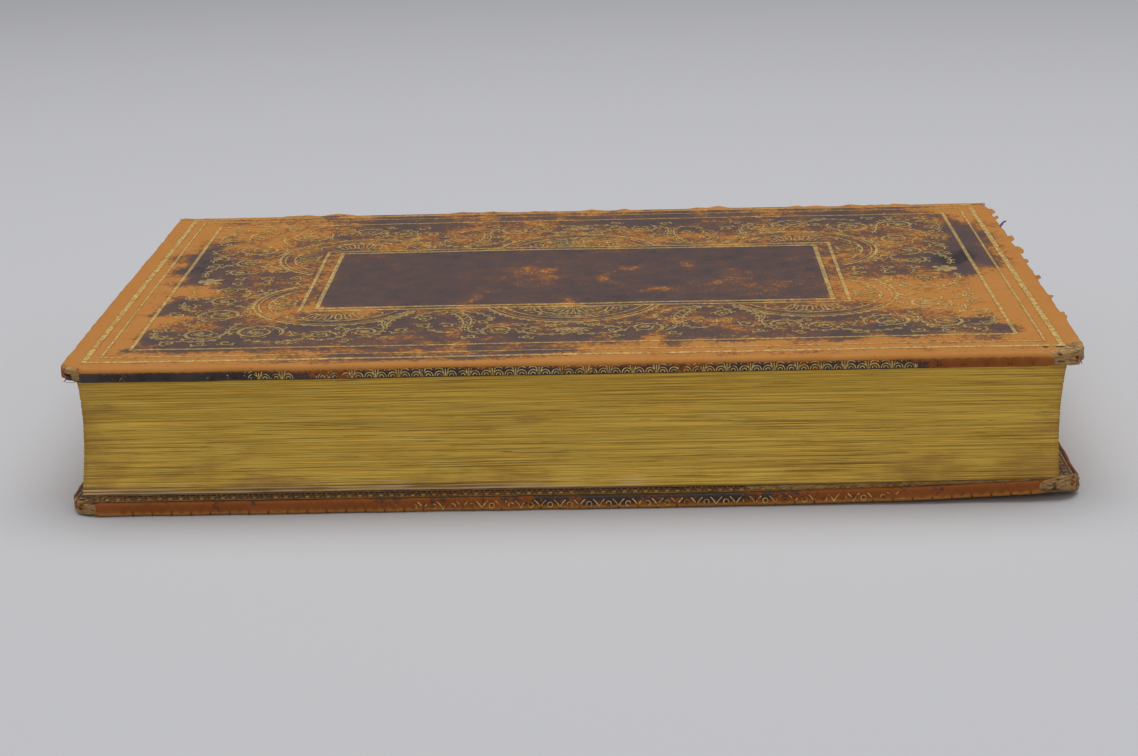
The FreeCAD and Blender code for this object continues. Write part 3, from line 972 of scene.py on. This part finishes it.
# The stems that join the scrolls.
STEMS = (
    ((31, 33.5), (26, 35.5), (22.5, 41), (24.6, 49)), ((31, 33.5), (28, 37), (25, 42), (26, 50)),
    ((31, 33.5), (24, 34), (20, 38), (19, 43)), ((31, 33.5), (36, 35), (38, 38), (37.5, 41)),
    ((38, 33.5), (43, 36), (47, 41), (44.6, 47)), ((38, 33.5), (41, 38), (45, 42), (43.6, 48)),
    ((44.6, 47), (43.5, 52), (46, 57), (50, 56)), ((53, 54), (55, 59), (61, 60), (62, 54)),
    ((62, 56), (65, 61), (71, 60), (76, 57)), ((80, 52), (82, 47), (80, 44), (79, 41)),
    ((78.5, 36), (77, 30), (80, 26), (83, 25)), ((88.5, 45.5), (92, 44), (94, 40), (93, 36)),
    ((91, 31), (95, 29), (97, 26), (96, 21)), ((90, 19), (96, 14), (97, 9), (95, 4.5)),
    ((83, 16.5), (79, 14), (82, 9), (84, 8)), ((0, 47), (4, 48), (8, 50), (10, 51)),
    ((21.5, 53), (25, 56), (24, 50), (24.6, 48)), ((92, 54), (97, 58), (99.6, 52), (97.4, 45)),
    ((13, 53), (10, 57), (5, 58), (0, 56)), ((26, 50), (27, 55), (31, 55), (34, 50)),
    ((82, 55.5), (84, 58), (88, 59), (91, 57)), ((76.5, 12), (80, 15), (81, 18), (81.6, 20)),
)


def outside_panel(path):
    """Whether a path stays off the lines round the panel."""
    return ((path[:, 0] > PANEL_HALF[0] + 0.9) | (path[:, 1] > PANEL_HALF[1] + 0.9)).all()


def border_quarter():
    """A quarter of the border, as distances from the ornament's two middle lines."""
    centre = (0, 24.1)
    rings = ((21.9, BOLD + 0.2), (20.5, LINE), (18.2, LINE + 0.1))
    middle_lobe = [(arc(*centre, radius, 20, 90), width) for radius, width in rings]
    middle_lobe += [(arc(0, 32, r, 3, 90), LINE) for r in (9.6, 8.3)]
    middle_lobe += flutes(0, 31, 2, 7, 8, 90, 16.4) + flutes(0, 27, 14, 14.001, 20, 90, 10)
    middle_lobe += hooks(arc(*centre, 15.4, 24, 90), 1.5, 1.7, 1)
    middle_lobe += hooks(arc(*centre, 21.9, 24, 90), 1.2, 2.2, -1)
    centre = (57.5, 24.0)
    rings = ((21.0, BOLD + 0.2), (19.7, LINE), (17.2, LINE + 0.1))
    corner_lobe = []
    for a in range(-60, 160, 2):
        corner_lobe += [(arc(*centre, radius, a, a + 2), width) for radius, width in rings]
    for n in range(11):
        x, y = centre + toward(-50 + 20 * n) * 14.4
        corner_lobe.append((arc(x, y, 2.4, -140 + 20 * n, 40 + 20 * n), LINE))
    corner_lobe += flutes(*centre, 10.5, 15.4, 60, 120, 10) + flutes(*centre, 10.5, 15.4, -35, 35, 10)
    corner_lobe += hooks(arc(*centre, 12.0, -40, 150), 1.4, 2.0, 1)
    corner_lobe += hooks(arc(*centre, 21.0, -50, 155), 1.1, 2.3, -1)
    strokes = middle_lobe + [stroke for stroke in corner_lobe if outside_panel(stroke[0])]
    for values in SCROLLS:
        strokes += scroll(*values)
    for corners in STEMS:
        stem = bend(*corners)
        strokes.append((stem, LINE + 0.08))
        strokes += hooks(stem, 1.1, 2.6, -1) + hooks(stem, 1.1, 2.6, 1)
    for angle in (15, 39, 63, 87):
        strokes += leaf(0, 51.5, angle, 5.0, 1.1)
    bud = np.array([93, 0])
    for angle in (15, 75, 135):
        strokes.append((bend(*(bud + toward(angle) * reach for reach in (0, 1, 2, 3.4))), 1.9))
    return strokes


def border():
    """The whole border: one quarter and its mirror images, as x and v."""
    strokes = []
    for sx in (-1, 1):
        for sy in (-1, 1):
            for path, width in border_quarter():
                strokes.append((path * (sx, sy) + (0, ORNAMENT_MIDDLE), width))
    return strokes


def straight(a, b):
    """A straight path, with points close enough to follow the leather's relief."""
    a, b = np.array(a, float), np.array(b, float)
    t = np.linspace(0, 1, max(2, int(np.linalg.norm(b - a) / 1.5)))[:, None]
    return a * (1 - t) + b * t


def gilt_frame(x, half_depth, width):
    """Four lines that meet at square corners."""
    near, far = ORNAMENT_MIDDLE - half_depth, ORNAMENT_MIDDLE + half_depth
    over = width / 2
    across = [(straight((-x - over, v), (x + over, v)), width) for v in (near, far)]
    along = [(straight((sx * x, near), (sx * x, far)), width) for sx in (-1, 1)]
    return across + along


def frames():
    """The lines of all gilt frames, as x and v."""
    return [stroke for values in FRAMES for stroke in gilt_frame(*values)]


def front_roll():
    """Pairs of scallops and a palmette, along the front cover's fore-edge. Heights from the inside up."""
    strokes = []
    for x in np.arange(-103, 104, 5.2):
        for dx in (-1.25, 1.25):
            strokes.append((arc(x + dx, 0.45, 1.05, 0, 180, 1.1), 0.2))
            strokes.append((arc(x + dx, 0.45, 0.5, 0, 180, 0.55), 0.2))
            strokes.append((arc(x + dx, 1.75, 0.95, 20, 160, 0.5), 0.16))
        for lean in (-0.75, 0, 0.75):
            foot = (x + 2.6 + 0.3 * lean, 0.4)
            strokes.append((bend(foot, foot, (x + 2.6 + lean * 0.5, 1.5), (x + 2.6 + lean, 2.1)), 0.2))
    return strokes


def rear_roll():
    """Rings and forked stems, along the rear cover's fore-edge. Heights from the inside down."""
    strokes = []
    prong = ((0, 2.9), (0, 2.1), (0.6, 1.3), (1.3, 0.7))
    for x in np.arange(-102, 103, 4.4):
        strokes.append((arc(x, 1.8, 0.6, 0, 360), 0.22))
        strokes.append((arc(x, 1.8, 0.12, 0, 360), 0.2))
        for lean in (-1, 1):
            strokes.append((bend(*((x + 2.2 + out * lean, h) for out, h in prong)), 0.26))
    return strokes


# Where along each fore-edge the roll keeps its gold.
EDGE_GOLD = {1: (-76, 82), -1: (-45, 82)}


def turn_in_roll():
    """Small leaves and dots round the inside of a cover, as x and v."""
    strokes = []
    near, far, side = 2.2, cover_depth - 4, half_height - 2.2
    runs = [((-side, near), (side, near)), ((-side, near), (-side, far)), ((side, near), (side, far))]
    for a, b in runs:
        a, b = np.array(a), np.array(b)
        length = np.linalg.norm(b - a)
        along = (b - a) / length
        inward = np.array([0, 1.0]) if abs(along[0]) > 0.5 else np.array([-np.sign(a[0]), 0])
        for s in np.arange(2.0, length - 1.5, 2.4):
            foot = a + along * s
            strokes.append((np.stack([foot, foot + inward * 0.5, foot + inward * 1.1]), 0.8))
            strokes.append((np.stack([foot + along * 1.2, foot + along * 1.2 + inward * 0.35]), 0.35))
            strokes.append((arc(*(foot + inward * 2.5), 0.8, 0, 360), 0.2))
        for shift, width in ((-0.6, 0.25), (4.2, 0.3), (5.6, 0.3)):
            count = int(length / 2)
            t = np.linspace(0, 1, count)[:, None]
            strokes.append((a * (1 - t) + b * t + inward * shift, width))
    return strokes


def spine_strokes():
    """Lines beside each band and a flower between bands, as x and turn in degrees."""
    strokes = []
    per_mm = 180 / math.pi / spine_radius
    turns = np.linspace(-47, 47, 60)
    edges = [-half_height + 3] + [p + s * 5.6 for p in band_places for s in (-1, 1)] + [half_height - 3]
    for x in edges + [-half_height + 7, half_height - 7]:
        strokes.append((np.stack([0 * turns + x, turns], -1), 0.5))
    places = [-half_height + 1.5] + band_places + [half_height - 1.5]
    for a, b in zip(places, places[1:]):
        x = (a + b) / 2
        flower = []
        for n in range(8):
            flower += leaf(x, 0, n * 45, 4.2, 1.0)
        flower += [(arc(x, 0, radius, 0, 360), LINE) for radius in (1.0, 6.0)]
        for sx in (-1, 1):
            for sy in (-1, 1):
                flower.append((spiral(x + sx * 7.5, sy * 8.0, 2.6, 45, 1.3, sx * sy), LINE))
        strokes += [(path * (1, per_mm), width) for path, width in flower]
    return strokes


def ribbons(strokes, widen, shape):
    """Flat strips along the strokes. shape is how many millimetres a unit of each coordinate is."""
    points, quads, count = [], [], 0
    shape = np.array(shape)
    for path, width in strokes:
        path = path * shape
        if len(path) < 2:
            continue
        tangent = np.gradient(path, axis=0)
        tangent /= np.linalg.norm(tangent, axis=1)[:, None] + 1e-9
        normal = np.stack([-tangent[:, 1], tangent[:, 0]], -1) * (width + widen) / 2
        strip = np.concatenate([path - normal, path + normal]) / shape
        n = len(path)
        i = np.arange(n - 1) + count
        quads.append(np.stack([i, i + 1, i + n + 1, i + n], -1))
        points.append(strip)
        count += 2 * n
    return np.concatenate(points), np.concatenate(quads)


def tooling(name, strokes, lay, dark, body, gold, groove, gilt, shape=(1.0, 1.0), flip=False, fringe=0.3,
            edge=0.0):
    """Gold strips, over wider ones of leather with painted shade that show as their pressed edges. lay puts
    them on their surface.
    """
    for part, widen, out, material in (("gold", 0.0, 0.045, gold), ("groove", fringe, 0.025, groove)):
        flat, quads = ribbons(strokes, widen, shape)
        points = lay(*flat.T, out)
        level = dark(*flat.T)
        quads = quads[:, ::-1] if flip else quads
        left = gilt(flat[:, 0]) if callable(gilt) else np.full(len(level), gilt)
        attributes = {"dark": level, "gold": left, "edge": np.full(len(level), edge)}
        add_mesh(f"{name}_{part}", points, quads, body, material, (), attributes)


# Frayed leather.


def flap(name, place, size, turn, lift, material, dark, seed=14):
    """A torn scrap that stands up from the front cover's edge and curls over."""
    n, m = 16, 12
    s, t = np.meshgrid(np.linspace(-1, 1, n), np.linspace(0, 1, m), indexing="ij")
    wide = size[0] * (1 - 0.45 * t**1.5 + 0.3 * t * noise(5 * s, 9 * t, 1.3, seed))
    along, out = toward(turn), toward(turn + 90)
    reach = size[1] * (t + 0.22 * t * noise(4 * s, 3 * t, 1.0, seed + 3))
    x = place[0] + along[0] * s * wide / 2 + out[0] * reach
    v = place[1] + along[1] * s * wide / 2 + out[1] * reach
    h = place[2] + lift * np.sin(0.5 * np.pi * t) + 0.3 * noise(x, v, 1.2, 103) * t
    thick = 0.18 * np.sqrt(np.clip(1 - s**8, 0.05, 1) * np.clip(1 - t**8, 0.05, 1))
    x, v, h, thick = (values.ravel() for values in (x, v, h, thick))
    points = np.concatenate([cover_point(1, x, v, h + side * thick) for side in (1, -1)])
    upper = grid(n, m)
    number = np.arange(n * m).reshape(n, m)
    rim = np.concatenate([number[0], number[1:, -1], number[-1, -2::-1], number[-2:0:-1, 0]])
    after = np.roll(rim, -1)
    sides = np.stack([rim, after, after + n * m, rim + n * m], -1)
    quads = np.concatenate([upper[:, ::-1], upper + n * m, sides[:, ::-1]])
    add_mesh(name, points, quads, FRONT, material, (), {"dark": np.full(len(points), dark)})


# Place, width and reach, direction of the torn side in degrees, lift and darkness of each scrap.
SCRAPS = (
    ((113.9, 146, 2.9), (7.0, 1.5), -84, 0.35, 0.1), ((114.3, 138, 2.7), (4.0, 1.1), -97, 0.5, 0.2),
    ((114.4, 113, 2.6), (6.0, 1.3), -92, 0.5, 0.15), ((114.4, 101, 2.5), (9.0, 1.6), -86, 0.3, 0.25),
    ((114.5, 88, 2.6), (5.0, 1.0), -94, 0.2, 0.2), ((114.6, 70, 2.7), (4.0, 0.9), -90, 0.3, 0.3),
    ((114.6, 34, 2.5), (6.0, 0.8), -88, 0.2, 0.1), ((114.6, 52, 2.4), (3.0, 0.9), -95, 0.2, 0.2),
)


def tool_cover(side, gold, groove):
    """The gold on a cover's outside, along its fore-edge and round its turn-ins."""
    name, body = SIDES[side]

    def outside(x, v, out):
        return cover_point(side, x, v, cover + relief(x, v, side) + out)

    def outside_dark(x, v):
        return darkness(side, x, v, cover + 0 * x)

    def fore_edge(x, h, out):
        return cover_point(side, x, 0 * x - out, h)

    def fore_edge_dark(x, h):
        return darkness(side, x, 0 * x, h)

    def inside(x, v, out):
        return cover_point(side, x, v, 0 * x - out)

    def inside_dark(x, v):
        return darkness(side, x, v, 0 * x)

    def roll_gilt(x):
        start, end = EDGE_GOLD[side]
        return 0.3 * smooth(0, 10, np.minimum(x - start, end - x)) - 0.25

    tools = (body, gold, groove)
    roll = front_roll() if side > 0 else rear_roll()
    tooling(f"{name}_cover_border", border(), outside, outside_dark, *tools, 0.06, flip=side < 0)
    tooling(f"{name}_cover_frames", frames(), outside, outside_dark, *tools, 0.12, flip=side < 0)
    tooling(f"{name}_edge_roll", roll, fore_edge, fore_edge_dark, *tools, roll_gilt, fringe=0.0, edge=1.0)
    tooling(f"{name}_turn_in_roll", turn_in_roll(), inside, inside_dark, *tools, 0, flip=side > 0, fringe=0.0)


def build_book():
    """All pieces of the book, and the materials of the CAD pieces that show as they are."""
    leather = leather_material()
    gold = gold_material()
    groove = pressed_shade_material()
    board = board_material()
    paper = marbled_material()
    silk = silk_material()
    purple = thread_material("purple_thread", (0.22, 0.08, 0.3), (0.1, 0.03, 0.13), (2.0, 2.0, 0.6))
    hemp = thread_material("hemp_cord", (0.5, 0.38, 0.22), (0.22, 0.15, 0.08), (1.5, 0.5, 0.5))
    lining = thread_material("lining_paper", (0.55, 0.46, 0.32), (0.4, 0.32, 0.2), (0.6, 0.6, 0.6))
    for side, (name, body) in SIDES.items():
        cover_leather(side, leather)
        frayed_board(side, board)
        paper_plate(f"{name}_pastedown", side, body, paper)
        paper_plate(f"{name}_free_endpaper", side, LEAVES, paper)
        joint_strip(side, leather)
        tool_cover(side, gold, groove)
    leaf_block(gilt_material())
    for number, (place, size, turn, lift, dark) in enumerate(SCRAPS, 1):
        flap(f"torn_leather_{number}", place, size, turn, lift, leather, dark)
    flap("purple_thread_tuft", (113.9, 126, 3.0), (1.6, 1.8), -90, 1.6, purple, 0.0, seed=18)
    spine_cover(leather)
    shape = (1, math.radians(spine_radius))
    tooling("spine_tooling", spine_strokes(), spine_point, spine_darkness, LEAVES, gold, groove, 0.1, shape)
    for end in ("head", "tail"):
        endband(f"{end}_endband", silk)
    for name, node in frame["nodes"].items():
        if name.startswith(("sewing_cord", "spine_lining")):
            node.data.materials.clear()
            node.data.materials.append(hemp if name.startswith("sewing") else lining)


# Stage, light and camera.

PHOTO_WIDTH = 1138
FOCAL_PIXELS = 2370
SENSOR = 36.0
AIM = 79.25  # the aimed point of the front cover, from its fore-edge
AZIMUTH = 1.61
ELEVATION = 16.24
ROLL = -1.48
DISTANCE = 600.7
SHIFT_RIGHT = -2.45
SHIFT_UP = -25.9
FLOOR = (0.56, 0.56, 0.58)
BACKDROP = (0.34, 0.34, 0.36)


def stage():
    """A pale floor that rises into a backdrop."""
    turn = np.radians(np.arange(10, 91, 10))
    ys = np.concatenate([[-2500, 1500], 1500 + 900 * np.sin(turn), [2400]])
    zs = np.concatenate([[0, 0], 900 * (1 - np.cos(turn)), [3500]])
    points = [(x, y, z) for y, z in zip(ys, zs) for x in (-3000, 3000)]
    mesh = bpy.data.meshes.new("floor")
    faces = [(2 * i, 2 * i + 1, 2 * i + 3, 2 * i + 2) for i in range(len(ys) - 1)]
    mesh.from_pydata((np.array(points) * MM).tolist(), [], faces)
    mesh.polygons.foreach_set("use_smooth", [True] * len(faces))
    shader = Shader("floor", 0.9)
    _, y, _ = shader.node("SeparateXYZ", {0: shader.place}).outputs
    rise = shader.step(y, 100, 1700)
    mesh.materials.append(shader.finish(shader.mix(rise, FLOOR, BACKDROP)))
    floor = bpy.data.objects.new("floor", mesh)
    bpy.context.scene.collection.objects.link(floor)


def lamp(name, place, target, size, power):
    """A rectangular light. Its place, target and size are in metres."""
    light = bpy.data.lights.new(name, "AREA")
    light.shape = "RECTANGLE"
    light.size, light.size_y = size
    light.energy = power
    lamp_object = bpy.data.objects.new(name, light)
    bpy.context.scene.collection.objects.link(lamp_object)
    lamp_object.location = Vector(place)
    lamp_object.rotation_euler = (Vector(target) - Vector(place)).to_track_quat("-Z", "Y").to_euler()


def lights():
    """Soft studio light from above and in front."""
    world = bpy.data.worlds.new("studio")
    world.use_nodes = True
    world.node_tree.nodes["Background"].inputs["Color"].default_value = (0.97, 0.98, 1.0, 1)
    world.node_tree.nodes["Background"].inputs["Strength"].default_value = 0.42
    bpy.context.scene.world = world
    lamp("overhead", (0.1, 0.15, 1.5), (0, 0, 0), (1.8, 1.4), 18)
    lamp("front", (-0.4, -1.6, 0.8), (0, 0, 0.02), (1.4, 0.8), 1.5)


def camera():
    """The photograph's camera, placed from a point of the front cover's outer face."""
    az, el, roll = (math.radians(a) for a in (AZIMUTH, ELEVATION, ROLL))
    back = Vector((math.sin(az) * math.cos(el), -math.cos(az) * math.cos(el), math.sin(el)))
    right = Vector((math.cos(az), math.sin(az), 0))
    up = back.cross(right)
    eye_right = right * math.cos(roll) + up * math.sin(roll)
    eye_up = up * math.cos(roll) - right * math.sin(roll)
    target = Vector((0, fore_y + AIM, top))
    place = target + back * DISTANCE + right * SHIFT_RIGHT + up * SHIFT_UP
    data = bpy.data.cameras.new("camera")
    data.sensor_width = SENSOR
    data.lens = FOCAL_PIXELS / PHOTO_WIDTH * SENSOR
    data.clip_start = 0.01
    view = bpy.data.objects.new("camera", data)
    bpy.context.scene.collection.objects.link(view)
    turn = Matrix((eye_right, eye_up, back)).transposed().to_4x4()
    view.matrix_world = Matrix.Translation(place * MM) @ turn
    bpy.context.scene.camera = view


build_book()
stage()
lights()
camera()
bpy.context.scene.view_settings.view_transform = "Standard"
